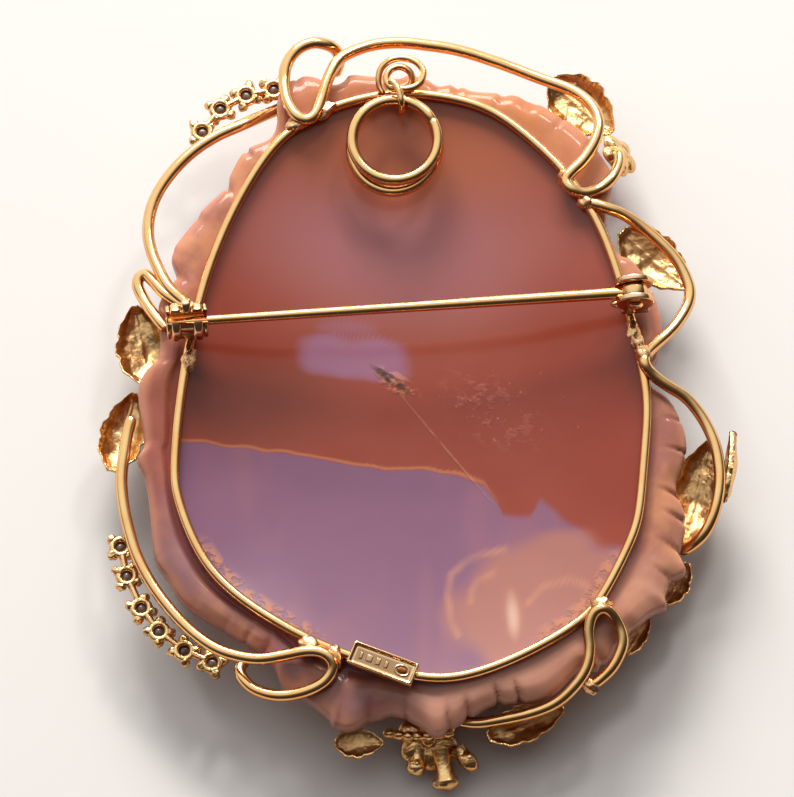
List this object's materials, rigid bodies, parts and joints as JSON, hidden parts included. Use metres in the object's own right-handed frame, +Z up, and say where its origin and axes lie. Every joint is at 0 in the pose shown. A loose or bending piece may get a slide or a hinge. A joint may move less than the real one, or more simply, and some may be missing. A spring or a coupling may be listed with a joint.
{
  "type": "cameo brooch",
  "caption": "Oval carved shell cameo brooch in a gilt wire frame with scrolls, leaves and claw settings, lying face down with its pin, safety catch and bail ring in view.",
  "frame": {"origin": "middle of the bounding box's base, on the table under the brooch, which lies face down", "axes": "+X to the right as the back is seen, +Y towards the top of the cameo, +Z up, from the carved front to the pin"},
  "size_m": [0.055, 0.0674, 0.0127],
  "materials": {
    "shell": "carved and polished shell, glossy, warm reddish brown",
    "gilt_wire": "drawn gold wire, bright",
    "gilt_fittings": "gold fittings, bright with small scratches",
    "gilt_castings": "cast gold, softly grained, darker in the hollows",
    "pearl": "seed pearl, satin lustre"
  },
  "bodies": {
    "setting": {"shell_cameo": "shell", "wire_frame": "gilt_wire", "stamp_plate": "gilt_fittings", "bail_eye": "gilt_wire", "hinge_plates": "gilt_fittings", "hinge_rivet": "gilt_fittings", "catch_rings": "gilt_fittings", "leaf_left_upper": "gilt_castings", "leaf_left_lower": "gilt_castings", "leaf_top_right": "gilt_castings", "leaf_right": "gilt_castings", "leaf_right_lower": "gilt_castings", "leaf_right_edge": "gilt_castings", "leaf_right_low": "gilt_castings", "leaf_foot_left": "gilt_castings", "leaf_foot": "gilt_castings", "leaf_twig": "gilt_castings", "flower_top": "gilt_castings", "flower_bottom": "gilt_castings", "collet_string_upper": "gilt_castings", "collet_string_lower": "gilt_castings", "pearl_upper_1": "pearl", "pearl_upper_2": "pearl", "pearl_upper_3": "pearl", "pearl_upper_4": "pearl", "pearl_lower_1": "pearl", "pearl_lower_2": "pearl", "pearl_lower_3": "pearl", "pearl_lower_4": "pearl", "pearl_lower_5": "pearl", "pearl_lower_6": "pearl"},
    "pin": {"pin_stem": "gilt_wire"},
    "safety_sleeve": {"catch_sleeve": "gilt_fittings"},
    "bail": {"bail_ring": "gilt_wire"}
  },
  "joints": [
    {"name": "pin_hinge", "type": "hinge", "parent": "setting", "child": "pin", "pos_m": [0.01879, 0.00899, 0.0111], "axis": [-0.0698, 0.9976, 0], "range_deg": [0, 80]},
    {"name": "sleeve_turn", "type": "hinge", "parent": "setting", "child": "safety_sleeve", "pos_m": [-0.01969, 0.0063, 0.0111], "axis": [0.9976, 0.0698, 0], "range_deg": [0, 130]},
    {"name": "bail_hinge", "type": "hinge", "parent": "setting", "child": "bail", "pos_m": [-0.0018, 0.02711, 0.01], "axis": [-1, 0, 0], "range_deg": [0, 110]}
  ]
}
